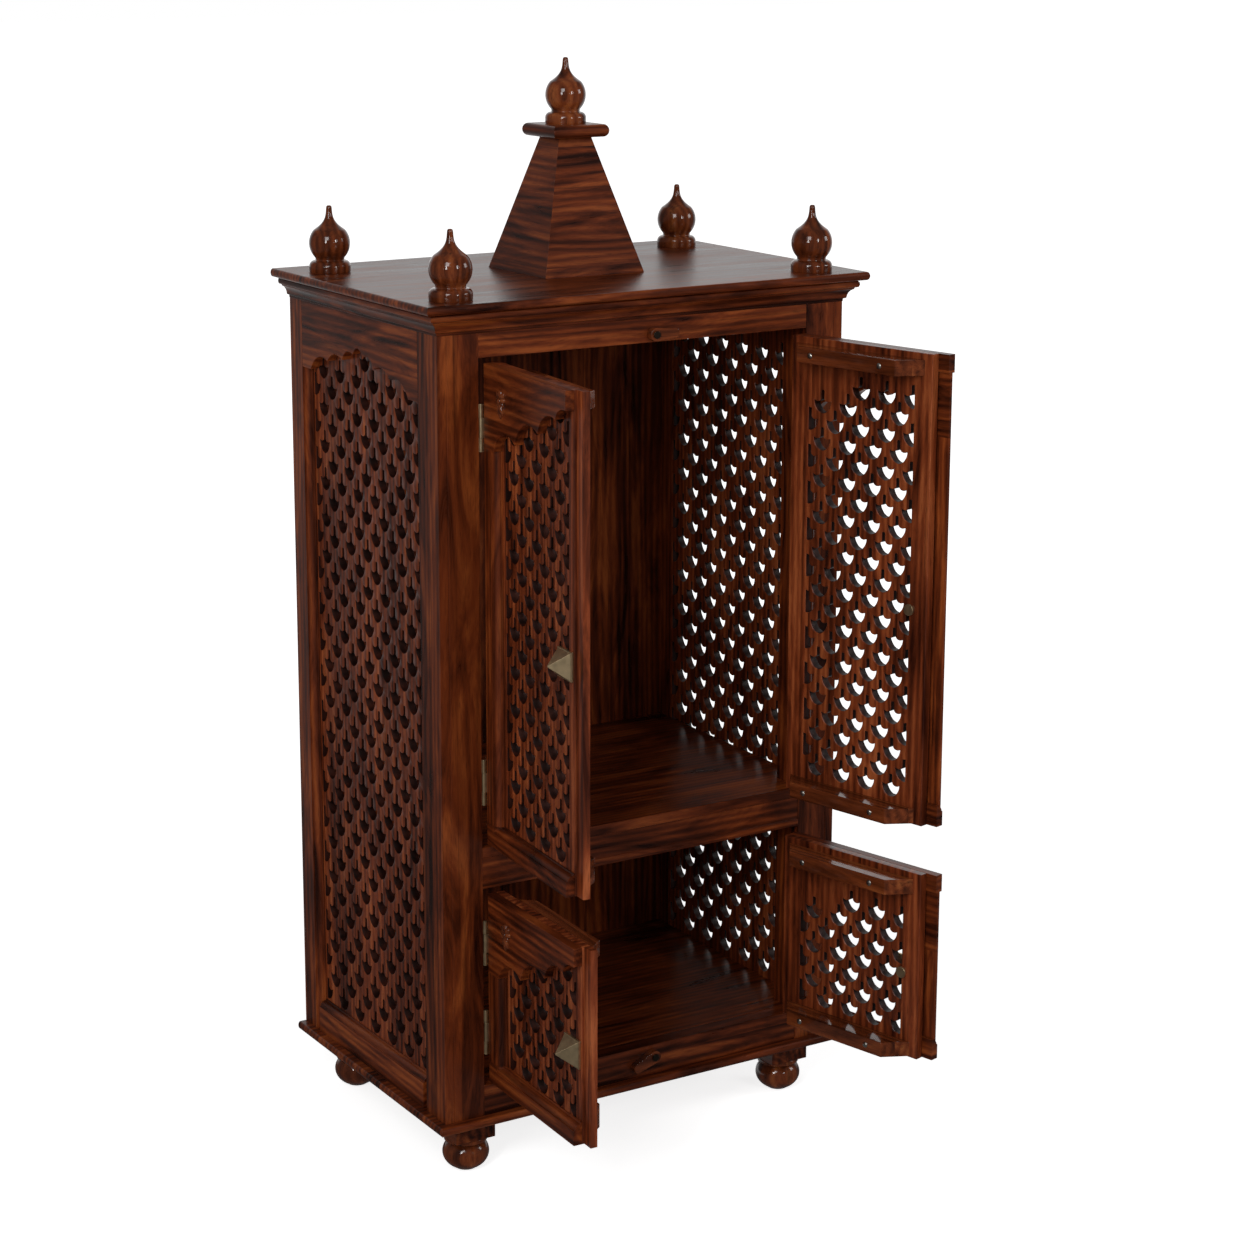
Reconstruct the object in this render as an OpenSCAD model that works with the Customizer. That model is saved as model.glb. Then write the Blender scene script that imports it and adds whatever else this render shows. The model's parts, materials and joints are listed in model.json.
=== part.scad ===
// Small wooden shrine cabinet with pierced sides, four pierced doors and a pyramid tower.
// The cabinet stands on the floor at z = 0 and its front faces -y.
// The doors are shown open, as they stand in use.

/* [Cabinet body] */
// Width of the body over the posts
body_w = 515; // [470:5:640]
// Depth of the body, front of posts to back
body_d = 351; // [300:5:480]
// Height of the body, from the base board to the top moulding
body_h = 870; // [820:5:1000]
// Width of a front post
post_w = 48.8; // [36:0.2:60]
// Depth of a front post, along the side
post_d = 44; // [34:0.5:60]
// Depth of a rear stile, along the side
stile_d = 30; // [20:0.5:45]
// Set-in of the glue line on a front post from its outer corner
glue_line_inset = 11; // [6:0.5:20]
// Height of the rail over the upper doors
header_h = 26.5; // [20:0.5:45]
// Height of the apron under the shelf
apron_h = 35; // [25:0.5:60]
// Height of the front rail under the lower doors
bottom_rail_h = 35.5; // [25:0.5:55]
// Thickness of the front rails
rail_t = 20.5; // [15:0.5:28]
// Top of the shelf, above the base board
shelf_top_z = 309.6; // [240:0.2:380]
// Thickness of the shelf
shelf_t = 12; // [9:0.5:20]
// Thickness of the floor board
floor_t = 12; // [9:0.5:20]
// Thickness of the back panel
back_t = 10; // [6:0.5:15]

/* [Framed panels] */
// Thickness of the pierced boards of the doors
board_t = 10.5; // [8:0.5:14]
// Thickness of the pierced boards of the sides
side_board_t = 9.5; // [7:0.5:14]
// Thickness of the frame trims in front of the pierced boards
trim_t = 10; // [8:0.5:14]
// Width of the moulded inner edge of a frame
mould_w = 8; // [5:0.5:12]
// Height of the bottom rail of a side panel
side_rail_h = 38; // [28:0.5:60]

/* [Pierced pattern] */
// Distance from one column of cut-outs to the next on the sides
side_col = 20.5; // [19.5:0.1:28]
// Height from one cut-out to the next in a column on the sides
side_row = 42.6; // [38:0.1:56]
// First cup height above the base board on the left side
left_first_z = 53.5; // [52:0.1:70]
// First cup height above the base board on the right side
right_first_z = 55.6; // [52:0.1:70]
// Shift of the left side's pattern from the middle of its panel, towards the back
left_shift = 3.2; // [0:0.1:8]
// Shift of the right side's pattern from the middle of its panel, towards the back
right_shift = 8.4; // [0:0.1:10]
// Distance from one column of cut-outs to the next on the doors
door_col = 18; // [17:0.05:24]
// Height from one cut-out to the next in a column on the doors
door_row = 41.7; // [38:0.1:56]
// First column of a left leaf's pattern from the hinge edge
left_first_u = 32.8; // [29:0.1:40]
// First column of a right leaf's pattern from the hinge edge
right_first_u = 27; // [27:0.1:40]
// Last column of a left leaf's pattern from the meeting edge of the trims, at least
door_last_u = 14; // [13:0.25:30]
// First cup height above the bottom of the upper left leaf
upper_left_first_z = 20.1; // [17:0.1:38]
// First cup height above the bottom of the upper right leaf
upper_right_first_z = 17.5; // [17:0.1:38]
// First cup height above the bottom of a lower leaf
lower_first_z = 37.4; // [17:0.1:38]
// Half width of a cut-out at its two tips
cup_r = 12.1; // [9:0.1:13]
// Depth of the cup below its tips
cup_h = 14; // [10:0.25:16]
// Half width of the stem above the cup
stem_r = 2.1; // [1.4:0.1:3]
// Height of the stem above the cup
stem_h = 12; // [8:0.25:14]

/* [Side arch] */
// Spring of the cusped arch below the top of the body
arch_drop = 75; // [60:1:100]
// Rise of the cusped arch at its crown
arch_rise = 39; // [25:1:50]

/* [Doors] */
// Gap between a closed leaf and the frame around it
door_gap = 5; // [3:0.5:7]
// Gap between the two closed leaves
meeting_gap = 5; // [3:0.5:8]
// Overlap of the leaves at the meeting edges
lap_w = 13.7; // [11:0.1:18]
// Meeting edge of the left trims from the middle of the two closed leaves
left_trim_back = 9.5; // [8:0.1:12]
// Thickness of the lip behind the meeting strip
lip_t = 8; // [5:0.5:9]
// Thickness of the meeting strip
strip_t = 4; // [3:0.5:7]
// Width of the meeting strip
strip_w = 19; // [16:0.5:22]
// Set-back of the meeting strip from the face of the trims
strip_back = 3.5; // [0:0.5:4]
// Width of the hinge stile with its moulded edge
hinge_stile_w = 25; // [20:0.5:36]
// Height of the bottom trim with its moulded edge
door_bottom_h = 24.5; // [18:0.5:40]
// Spring of the door arch below the top of the leaf
door_arch_drop = 90; // [75:1:110]
// Height of the trim over the crown of the door arch
door_crown_h = 20; // [14:0.5:30]
// Opening angle of the upper left leaf as shown
open_upper_left = 94.5; // [0:0.5:165]
// Opening angle of the lower left leaf as shown
open_lower_left = 92; // [0:0.5:165]
// Opening angle of the upper right leaf as shown
open_upper_right = 103.6; // [0:0.2:165]
// Opening angle of the lower right leaf as shown
open_lower_right = 104.3; // [0:0.1:165]

/* [Battens] */
// Depth of a batten behind the leaf
batten_d = 25; // [15:0.5:30]
// Height of a batten
batten_h = 17.5; // [12:0.5:24]
// Height of the bottom battens of the left leaves
tall_batten_h = 27; // [18:0.5:32]
// Start of a batten from the hinge edge
batten_start = 7; // [5:0.5:20]
// Length of a batten against the leaf
batten_len = 180; // [120:1:185]
// Slope of a batten's ends
batten_slope = 21; // [8:0.5:30]
// Inset of the top batten from the top of the leaf
batten_top_inset = 6.8; // [3:0.2:12]
// Inset of the bottom batten from the bottom of the leaf
batten_low_inset = 1; // [0:0.2:8]

/* [Hinges] */
// Length of a butt hinge
hinge_len = 50.8; // [38:0.1:64]
// Radius of a hinge knuckle
knuckle_r = 2.25; // [1.8:0.05:2.4]
// Radius of a hinge pin
hinge_pin_r = 1.2; // [0.8:0.05:1.4]
// Clearance round a hinge pin
pin_clear = 0.05; // [0.03:0.01:0.1]
// Thickness of a hinge plate
plate_t = 1.2; // [0.8:0.1:1.6]
// Width of a hinge plate
plate_w = 16; // [10:0.5:18]
// Share of the hinge taken by the middle knuckle
middle_share = 0.42; // [0.3:0.01:0.6]
// Hinge centre from the ends of an upper leaf
upper_hinge_inset = 68.5; // [45:0.5:120]
// Hinge centre from the ends of a lower leaf
lower_hinge_inset = 57; // [40:0.5:80]
// Distance of the pin in front of the leaf's face
pin_w = 2.4; // [2.3:0.1:4]

/* [Knobs and turn buttons] */
// Side of a knob's square base
knob_w = 31; // [20:0.5:36]
// Thickness of a knob's base
knob_base_t = 3; // [2:0.25:5]
// Height of a knob's pyramid
knob_h = 19; // [10:0.5:26]
// Knob centre from the meeting edge of the trims
knob_inset = 18; // [16:0.5:30]
// Height of an upper knob above the bottom of its leaf
upper_knob_z = 241.4; // [150:0.2:330]
// Height of a lower knob above the bottom of its leaf
lower_knob_z = 98; // [60:0.2:140]
// Radius of the wooden washer inside a knob
washer_r = 6.5; // [4:0.25:10]
// Thickness of the wooden washer inside a knob
washer_t = 2.5; // [1:0.25:5]
// Length of a turn button
button_len = 37; // [28:0.5:50]
// Width of a turn button
button_w = 15; // [10:0.5:16]
// Thickness of a turn button
button_t = 8; // [5:0.5:12]
// Radius of a turn button's screw
button_screw_r = 2; // [1.5:0.1:3]
// Tilt of the lower button's tail below level
low_button_tilt = 22; // [0:1:35]

/* [Base and feet] */
// Thickness of the base board
base_t = 9.5; // [8:0.5:16]
// Overhang of the base board at the front and sides
base_over = 10.5; // [6:0.5:20]
// Side of a foot block
block_w = 49; // [40:0.5:60]
// Height of a foot block
block_h = 25.5; // [12:0.5:35]
// Height of a turned foot
foot_h = 39; // [32:0.5:60]
// Widest radius of a turned foot
foot_r = 26.2; // [20:0.2:30]
// Inset of a foot's centre from the sides of the body
foot_inset_x = 45.5; // [30:0.5:70]
// Inset of a front foot's centre from the front of the body
foot_inset_front = 38.5; // [30:0.5:60]
// Inset of a rear foot's centre from the back of the body
foot_inset_back = 43; // [30:0.5:60]

/* [Top] */
// Height of the moulding under the top board
cornice_h = 24.5; // [18:0.5:40]
// Reach of the moulding past the body
cornice_reach = 14; // [10:0.5:20]
// Thickness of the top board
top_t = 9.5; // [8:0.5:18]
// Overhang of the top board at the front and sides
top_over = 22; // [18:0.5:35]
// Overhang of the top board at the back
top_back_over = 2.3; // [0:0.1:6]

/* [Tower] */
// Side of the tower at its foot
tower_base_w = 127.4; // [90:0.2:180]
// Side of the tower at its top
tower_top_w = 41.4; // [34:0.2:60]
// Height of the tower
tower_h = 148.8; // [100:0.2:220]
// Thickness of the tower's boards
tower_wall = 10; // [6:0.5:14]
// Shift of the tower from the middle of the body, towards the front
tower_shift = 3; // [0:0.5:20]
// Side of the cap on the tower
cap_w = 71; // [50:0.5:90]
// Thickness of the cap
cap_t = 14; // [8:0.5:20]

/* [Finials] */
// Height of a corner finial
finial_h = 74; // [60:0.5:90]
// Widest radius of a corner finial
finial_r = 22.9; // [17:0.1:26]
// Inset of the front left finial's centre from the left side of the body
finial_inset_left = 26.5; // [22:0.5:60]
// Inset of the rear left finial's centre from the left side of the body
finial_inset_rear_left = 22.5; // [22:0.5:60]
// Inset of the right finials' centres from the right side of the body
finial_inset_right = 30.7; // [22:0.1:60]
// Inset of the front finials' centres from the front of the body
finial_inset_front = 17.6; // [16:0.2:50]
// Inset of the rear left finial's centre from the back of the body
finial_back_left = 59.4; // [30:0.2:80]
// Inset of the rear right finial's centre from the back of the body
finial_back_right = 56.6; // [30:0.2:80]
// Height of the tower's finial
tower_finial_h = 72.7; // [56:0.1:90]
// Widest radius of the tower's finial
tower_finial_r = 22.6; // [16:0.1:25]

/* [Hidden] */
// Levels and edges of the body, above the base board
wall_t = board_t + trim_t;
base_z = foot_h + block_h + base_t;
face_y = -body_d / 2;
back_y = body_d / 2;
side_x = body_w / 2;
post_in_x = side_x - post_w;
wall_in_x = side_x - trim_t - side_board_t;
panel_y0 = face_y + post_d;
panel_y1 = back_y - stile_d;
panel_mid_y = (panel_y0 + panel_y1) / 2;
back_face_y = back_y - back_t;
arch_z = body_h - arch_drop;
top_z = body_h + cornice_h;
deck_z = top_z + top_t;

// Door openings and leaves
low_z0 = bottom_rail_h + door_gap;
low_z1 = shelf_top_z - shelf_t - apron_h - door_gap;
up_z0 = shelf_top_z + door_gap;
up_z1 = body_h - header_h - door_gap;
low_h = low_z1 - low_z0;
up_h = up_z1 - up_z0;
leaf_x = post_in_x - door_gap;
pin_u = door_gap / 2;
pin_x = post_in_x - pin_u;
closed_w = 2 * leaf_x;
left_trim_u = (closed_w - meeting_gap) / 2 - left_trim_back;
right_strip_u = closed_w - meeting_gap - left_trim_u;
left_board_u = left_trim_u + lap_w;
right_board_u = closed_w - meeting_gap - left_board_u;

// The origin is the middle of the whole outline, doors open, on the floor
function reach(angle, u, w) = (pin_u + u) * sin(angle) - (pin_w + w) * cos(angle);
front_reach = max(
    reach(open_upper_left, left_board_u, wall_t), reach(open_lower_left, left_board_u, wall_t),
    reach(open_upper_right, right_strip_u, trim_t), reach(open_lower_right, right_strip_u, trim_t),
    reach(open_upper_right, right_strip_u, 0), reach(open_lower_right, right_strip_u, 0),
    reach(open_upper_left, left_trim_u, 0), reach(open_lower_left, left_trim_u, 0), base_over, top_over);
body_y = (front_reach - face_y - back_y - top_back_over) / 2;

// Small fixed values
round_n = 72;
arc_n = 10;
play = 0.3;
fuse = 0.2;
groove = 0.8;
past = 1;
finial_n = 48;
nose_w = 3;
cap_nose_w = 5;

// Both halves of a cut-out, round the middle of the line between its tips
cup_side = [
    [stem_r, stem_h], [stem_r, stem_h * 0.17], [cup_r * 0.5, -cup_h * 0.06], [cup_r, cup_h * 0.03],
    [cup_r * 0.9, -cup_h * 0.37], [cup_r * 0.55, -cup_h * 0.8]];
cup_low = [0, -cup_h];

// Rounded edge of a board, as share of the rounding's depth and of the board's thickness
nose = [for (a = [-90 : 22.5 : 90]) [1 - cos(a), 0.5 + sin(a) / 2]];

// Moulded edge of a frame, as distance in from the flat face's edge and depth below the face
mould_edge = [[0, 0], [0, 0.14], [0.35, 0.2], [0.65, 0.38], [0.8, 0.66], [0.8, 0.8], [1, 0.86], [1, 1]];

// Colours
sheesham = "#4a2115";
sheesham_dark = "#3a1a11";
sheesham_red = "#5a2818";
brass = "#a58a55";

// Moves a piece from the body's own frame, which starts on the base board, to its place
module cabinet() translate([0, body_y, base_z]) children();

// Turns a flat drawing in x and z into a board from depth w0, t thick
module slab(w0, t) translate([0, w0 + t, 0]) rotate([90, 0, 0]) linear_extrude(height = t) children();

// Turns a flat drawing in y and z into a board on the left side, from depth w0, t thick
module side_slab(w0, t) translate([-side_x + w0, 0, 0]) rotate([90, 0, 90]) linear_extrude(height = t) children();

// Shows a piece of the left side, or its mirror image on the right
module on_side(side) mirror([side > 0 ? 1 : 0, 0, 0]) children();

// Points on an arc from a towards b that bulges by s to the left of the way, without b
function arc_points(a, b, s) =
    let (chord = norm(b - a), along = (b - a) / chord, across = [-along.y, along.x])
    let (r = (chord * chord / 4 + s * s) / (2 * s), half = asin(chord / 2 / r), c = (a + b) / 2 + across * (s - r))
    [for (i = [0 : arc_n - 1]) let (q = half * (2 * i / arc_n - 1)) c + r * (along * sin(q) + across * cos(q))];

// A chain of arcs through the given points
function lobes(points, bulges) = [for (i = [0 : len(bulges) - 1]) each arc_points(points[i], points[i + 1], bulges[i])];

// One cut-out with its cup at c: 0 is whole, 1 its right half and -1 its left half
function cut_out(c, part) =
    let (right = [for (p = cup_side) p], left = [for (i = [len(cup_side) - 1 : -1 : 0]) [-cup_side[i].x, cup_side[i].y]])
    let (shape = part == 0 ? concat(right, [cup_low], left)
        : part > 0 ? concat([[-stem_r, stem_h]], right, [cup_low, [-stem_r, cup_low.y + stem_r * 0.3]])
        : concat([[stem_r, stem_h], [stem_r, cup_low.y + stem_r * 0.3], cup_low], left))
    [for (p = shape) c + p];

// A board with a list of cut-outs in it
module pierced(outline, holes) difference() {
    polygon(outline);
    for (h = holes) polygon(h);
}

// A square ring of points, o past the body at the front and sides and b past the back
function ring(o, b, z) = [
    [-side_x - o, face_y - o, z], [side_x + o, face_y - o, z], [side_x + o, back_y + b, z], [-side_x - o, back_y + b, z]];

// A closed solid through a stack of four-cornered rings
module stack(rings) {
    n = len(rings);
    polyhedron(
        points = [for (r = rings) each r],
        faces = concat(
            [[0, 1, 2, 3]],
            [for (k = [0 : n - 2]) for (i = [0 : 3]) let (j = (i + 1) % 4)
                [4 * k + i, 4 * k + 4 + i, 4 * k + 4 + j, 4 * k + j]],
            [[4 * n - 1, 4 * n - 2, 4 * n - 3, 4 * n - 4]]));
}

// Section of a frame member, w wide with its moulded edge on the right
function moulded(w) = concat([[0, trim_t], [0, 0]], [for (p = mould_edge) [w - mould_w + p.x * mould_w, p.y * trim_t]]);

// Feet and base

// Turned foot: a ball under a thin collar
foot_profile = concat(
    [[0, 0], [foot_r * 0.42, 0]],
    [for (a = [-60 : 10 : 40]) [foot_r * cos(a), foot_h * 0.49 + foot_h * 0.52 * sin(a)]],
    [[foot_r * 0.78, foot_h * 0.835], [foot_r * 0.8, foot_h * 0.85], [foot_r * 0.9, foot_h * 0.865],
    [foot_r * 0.93, foot_h * 0.89], [foot_r * 0.93, foot_h * 0.985], [foot_r * 0.9, foot_h], [0, foot_h]]);

module at_feet() {
    for (x = [-side_x + foot_inset_x, side_x - foot_inset_x])
        for (y = [face_y + foot_inset_front, back_y - foot_inset_back])
            translate([x, y + body_y, 0]) children();
}

module feet() color(sheesham_dark) at_feet() rotate_extrude($fn = round_n) polygon(foot_profile);

module foot_blocks() color(sheesham_dark) at_feet() {
    translate([-block_w / 2, -block_w / 2, foot_h]) cube([block_w, block_w, block_h]);
}

module base_board() color(sheesham) cabinet()
    stack([for (p = nose) ring(base_over - p.x * nose_w, 0, (p.y - 1) * base_t)]);

// Corner posts and stiles

// The moulded edge of a post or stile, w wide from its outer face, up to the arch board
module edge_strip(w) linear_extrude(height = arch_z)
    polygon([for (p = moulded(w + mould_w)) [p.y, p.x > 0 ? p.x : w - fuse]]);

module front_post() {
    glue_x = -side_x + glue_line_inset;
    linear_extrude(height = body_h) polygon([
        [-side_x, panel_y0], [-post_in_x, panel_y0], [-post_in_x, face_y],
        [glue_x + groove / 2, face_y], [glue_x, face_y + groove], [glue_x - groove / 2, face_y], [-side_x, face_y]]);
    translate([-side_x, face_y, 0]) edge_strip(post_d);
}

module back_stile() {
    linear_extrude(height = body_h)
        polygon([[-side_x, panel_y1], [-wall_in_x, panel_y1], [-wall_in_x, back_y], [-side_x, back_y]]);
    translate([-side_x, back_y, 0]) mirror([0, 1, 0]) edge_strip(stile_d);
}

module post_front_left() color(sheesham) cabinet() front_post();
module post_front_right() color(sheesham) cabinet() on_side(1) front_post();
module stile_back_left() color(sheesham) cabinet() back_stile();
module stile_back_right() color(sheesham) cabinet() on_side(1) back_stile();

// Side panels

arch_half = [[0, 1], [0.092, 0.78], [0.29, 0.53], [0.575, 0.37], [0.895, 0]];
arch_bulges = [for (share = [0.038, 0.16, 0.18, 0.23]) share * arch_rise];
arch_r = (panel_y1 - panel_y0) / 2 - mould_w;
arch_right = [for (p = arch_half) [panel_mid_y + p.x * arch_r, arch_z + p.y * arch_rise]];
arch_left = [for (i = [len(arch_half) - 1 : -1 : 0]) [2 * panel_mid_y - arch_right[i].x, arch_right[i].y]];
left_bulges = [for (i = [len(arch_bulges) - 1 : -1 : 0]) arch_bulges[i]];

module side_arch() side_slab(0, trim_t) polygon(concat(
    [[panel_y0, arch_z]],
    lobes(arch_left, left_bulges), lobes(arch_right, arch_bulges),
    [[arch_right[len(arch_half) - 1].x, arch_z], [panel_y1, arch_z], [panel_y1, body_h], [panel_y0, body_h]]));

module side_rails() {
    side_arch();
    edge = moulded(side_rail_h);
    translate([0, panel_y0 + mould_w, 0]) rotate([-90, 0, 0]) mirror([0, 1, 0])
        linear_extrude(height = panel_y1 - panel_y0 - 2 * mould_w)
            polygon([for (p = edge) [-side_x + p.y, p.x]]);
}

// The arch hides the cut-outs whose tips stand higher than this roof-shaped line
arch_fall = 0.9;
side_tip_room = 4;
function side_roof_z(k) = arch_z + arch_rise * (1 - arch_fall * abs(k * side_col) / arch_r) - side_tip_room;

side_cols = floor((arch_r - left_shift - stem_r) / side_col);
function side_part(k) = k == side_cols ? -1 : k == -side_cols ? 1 : 0;
function side_holes(shift, first_z) = [
    for (k = [-side_cols : side_cols])
        for (z = [first_z + (k % 2 == 0 ? 0 : side_row / 2) : side_row : arch_z + arch_rise])
            if (z < side_roof_z(k)) cut_out([panel_mid_y + shift + k * side_col, z], side_part(k))];

module side_lattice(shift, first_z) side_slab(trim_t, side_board_t)
    pierced([[panel_y0, 0], [panel_y1, 0], [panel_y1, body_h], [panel_y0, body_h]], side_holes(shift, first_z));

module side_left_rails() color(sheesham) cabinet() side_rails();
module side_right_rails() color(sheesham) cabinet() on_side(1) side_rails();
module side_left_lattice() color(sheesham_red) cabinet() side_lattice(left_shift, left_first_z);
module side_right_lattice() color(sheesham_red)
    cabinet() on_side(1) side_lattice(right_shift, right_first_z);

// Back, floor, shelf and front rails

module back_panel() color(sheesham) cabinet()
    translate([-wall_in_x, back_face_y, 0]) cube([2 * wall_in_x, back_t, body_h]);

module board_plan(front) polygon([
    [-post_in_x, front], [post_in_x, front], [post_in_x, panel_y0], [wall_in_x, panel_y0],
    [wall_in_x, back_face_y], [-wall_in_x, back_face_y], [-wall_in_x, panel_y0], [-post_in_x, panel_y0]]);

module floor_board() color(sheesham_red) cabinet()
    translate([0, 0, bottom_rail_h - floor_t]) linear_extrude(height = floor_t) board_plan(face_y + rail_t);

module shelf_board() color(sheesham_red) cabinet()
    translate([0, 0, shelf_top_z - shelf_t]) linear_extrude(height = shelf_t) board_plan(face_y);

module front_rail(z0, h) translate([-post_in_x, face_y, z0]) cube([2 * post_in_x, rail_t, h]);

module mid_rail() color(sheesham) cabinet() {
    z0 = low_z1 + door_gap;
    line_z = z0 + apron_h * 0.25;
    translate([-post_in_x, 0, 0]) rotate([90, 0, 90]) linear_extrude(height = 2 * post_in_x) polygon([
        [face_y, z0], [face_y + rail_t, z0], [face_y + rail_t, z0 + apron_h], [face_y + groove, z0 + apron_h],
        [face_y + groove, line_z + groove], [face_y + 2 * groove, line_z], [face_y, line_z - groove]]);
}

module header_rail() color(sheesham) cabinet() front_rail(body_h - header_h, header_h);
module bottom_rail() color(sheesham) cabinet() front_rail(0, bottom_rail_h);

// Top moulding and top board

cornice_steps = [
    [0, 0], [0.04, 0.02], [0.04, 0.12], [0.24, 0.16], [0.28, 0.3], [0.36, 0.42], [0.5, 0.52], [0.68, 0.58],
    [0.7, 0.64], [0.94, 0.68], [1, 0.78], [0.98, 0.9], [0.86, 0.96], [0.7, 1]];

module cornice_moulding() color(sheesham) cabinet() difference() {
    stack([for (s = cornice_steps) ring(s.x * cornice_reach, 0, body_h + s.y * cornice_h)]);
    translate([-wall_in_x, face_y + rail_t, body_h - past])
        cube([2 * wall_in_x, body_d - rail_t - back_t, cornice_h + 2 * past]);
}

module top_board() color(sheesham) cabinet()
    stack([for (p = nose) ring(top_over - p.x * nose_w, top_back_over, top_z + p.y * top_t)]);

// Tower

function square_ring(r, z) = [[-r, -r, z], [r, -r, z], [r, r, z], [-r, r, z]];

module at_tower(z) cabinet() translate([0, -tower_shift, z]) children();

module tower() color(sheesham) at_tower(deck_z) difference() {
    stack([square_ring(tower_base_w / 2, 0), square_ring(tower_top_w / 2, tower_h)]);
    stack([
        square_ring(tower_base_w / 2 - tower_wall, -past), square_ring(tower_top_w / 2 - tower_wall, tower_h + past)]);
}

module tower_cap() color(sheesham) at_tower(deck_z + tower_h)
    stack([for (p = nose) square_ring(cap_w / 2 - p.x * cap_nose_w, p.y * cap_t)]);

// Turned finials: a rounded drum, a waist, a bulb and a spire
function finial_profile(r, h) = concat(
    [[0, 0], [r * 0.99, 0], [r * 1.01, h * 0.015], [r * 1.01, h * 0.09]],
    [for (a = [15 : 15 : 75]) [r * (0.72 + 0.29 * cos(a)), h * (0.09 + 0.088 * sin(a))]],
    [[r * 0.72, h * 0.178], [r * 0.7, h * 0.2]],
    [for (a = [-44 : 11 : 44]) [r * cos(a), h * 0.435 + r * sin(a)]],
    [[r * 0.5, h * 0.685], [r * 0.36, h * 0.735], [r * 0.27, h * 0.79], [r * 0.225, h * 0.85], [r * 0.195, h * 0.925],
    [r * 0.17, h * 0.985], [r * 0.1, h], [0, h]]);

module finial(r, h) rotate_extrude($fn = finial_n) polygon(finial_profile(r, h));

module tower_finial() color(sheesham_dark) at_tower(deck_z + tower_h + cap_t) finial(tower_finial_r, tower_finial_h);

finial_places = [
    [finial_inset_left - side_x, face_y + finial_inset_front], [side_x - finial_inset_right, face_y + finial_inset_front],
    [finial_inset_rear_left - side_x, back_y - finial_back_left],
    [side_x - finial_inset_right, back_y - finial_back_right]];

module corner_finials() color(sheesham_dark) cabinet()
    for (place = finial_places) translate([place.x, place.y, deck_z]) finial(finial_r, finial_h);

// Turn buttons on screws

top_button_at = [6, body_h - header_h * 0.66];
low_button_at = [9, bottom_rail_h * 0.66];
button_z0 = play;
button_z1 = play + button_t;

module on_front(at) translate([at.x, face_y, at.y]) rotate([90, 0, 0]) children();

module button_shape() {
    r = button_w / 2;
    tail = button_len - r;
    difference() {
        translate([0, 0, button_z0]) linear_extrude(height = button_t) polygon(concat(
            [for (a = [90 : 15 : 270]) r * [cos(a), sin(a)]],
            [[tail - r * 0.5, -r * 0.72], [tail - r * 0.12, -r * 0.5], [tail, 0],
            [tail - r * 0.12, r * 0.5], [tail - r * 0.5, r * 0.72]]));
        cylinder(r = button_screw_r + pin_clear, h = 2 * (button_z1 + past), center = true, $fn = round_n);
    }
}

module screw_shape() {
    cylinder(r = button_screw_r, h = button_z1 + play + 0.5, $fn = round_n);
    translate([0, 0, button_z1 + play]) cylinder(r = 2.1 * button_screw_r, h = 1.6, $fn = round_n);
}

module button_screws() color(brass) cabinet() {
    on_front(top_button_at) screw_shape();
    on_front(low_button_at) screw_shape();
}

module turn_button_top() color(sheesham_dark) cabinet() on_front(top_button_at) button_shape();

module turn_button_bottom() color(sheesham_dark) cabinet()
    on_front(low_button_at) rotate([0, 0, 180 + low_button_tilt]) button_shape();

// Doors. Inside hang() x runs from the hinge edge of a leaf to its meeting edge,
// y from its front face inwards and z up from the base board.

module hang(side, angle) cabinet()
    translate([side * pin_x, face_y, 0]) rotate([0, 0, side * angle]) mirror([side > 0 ? 1 : 0, 0, 0])
        translate([pin_u, pin_w, 0]) children();

door_spring_u = hinge_stile_w - 1;
crown_inset = 7.7;
crown_u = left_trim_u - crown_inset;
door_arch = [[0, 0], [0.313, 0.22], [0.649, 0.52], [0.9, 0.82], [1, 1]];
door_bulges = [for (share = [0.156, 0.161, 0.111, 0.033]) share * door_arch_drop];
function door_arch_points(z1) = [
    for (p = door_arch)
        [door_spring_u + p.x * (crown_u - door_spring_u), z1 - door_arch_drop + p.y * (door_arch_drop - door_crown_h)]];

module leaf_trim(z0, z1, end_u) {
    slab(0, trim_t) polygon(concat(
        [[0, z1 - door_arch_drop], [door_spring_u, z1 - door_arch_drop]],
        lobes(door_arch_points(z1), door_bulges),
        [[crown_u, z1 - door_crown_h], [end_u, z1 - door_crown_h], [end_u, z1], [0, z1]]));
    translate([0, 0, z0]) linear_extrude(height = z1 - z0 - door_arch_drop + fuse) polygon(moulded(hinge_stile_w));
    translate([0, 0, z0]) rotate([90, 0, 90]) linear_extrude(height = end_u)
        polygon([for (p = moulded(door_bottom_h)) [p.y, p.x]]);
}

module meeting_strip(z0, z1) slab(strip_back, strip_t) polygon([
    [right_strip_u - strip_w, z0 + door_bottom_h - mould_w], [right_strip_u, z0 + door_bottom_h - mould_w],
    [right_strip_u, z1 - door_crown_h + fuse], [right_strip_u - strip_w, z1 - door_crown_h + fuse]]);

// Cut-outs show from just over the bottom trim up to a sloping line over the arch
door_cup_under = 3;
left_roof = [77, 0.4375, 20];
right_roof = [73, 0.35, 40];
function door_roof_z(roof, u, z1) = z1 - max(roof[2], roof[0] - roof[1] * (u - door_spring_u));
door_cols = 2 * floor((left_trim_u - door_last_u - left_first_u) / door_col / 2);
function leaf_part(k) = k == 0 ? 1 : k == door_cols ? -1 : 0;
function leaf_holes(z0, z1, first_u, first_z, roof) = [
    for (k = [0 : door_cols])
        let (u = first_u + k * door_col)
            for (z = [z0 + first_z + (k % 2 == 0 ? 0 : door_row / 2) - door_row : door_row : z1])
                if (z > z0 + door_bottom_h + cup_h - door_cup_under && z < door_roof_z(roof, u, z1))
                    cut_out([u, z], leaf_part(k))];

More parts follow.
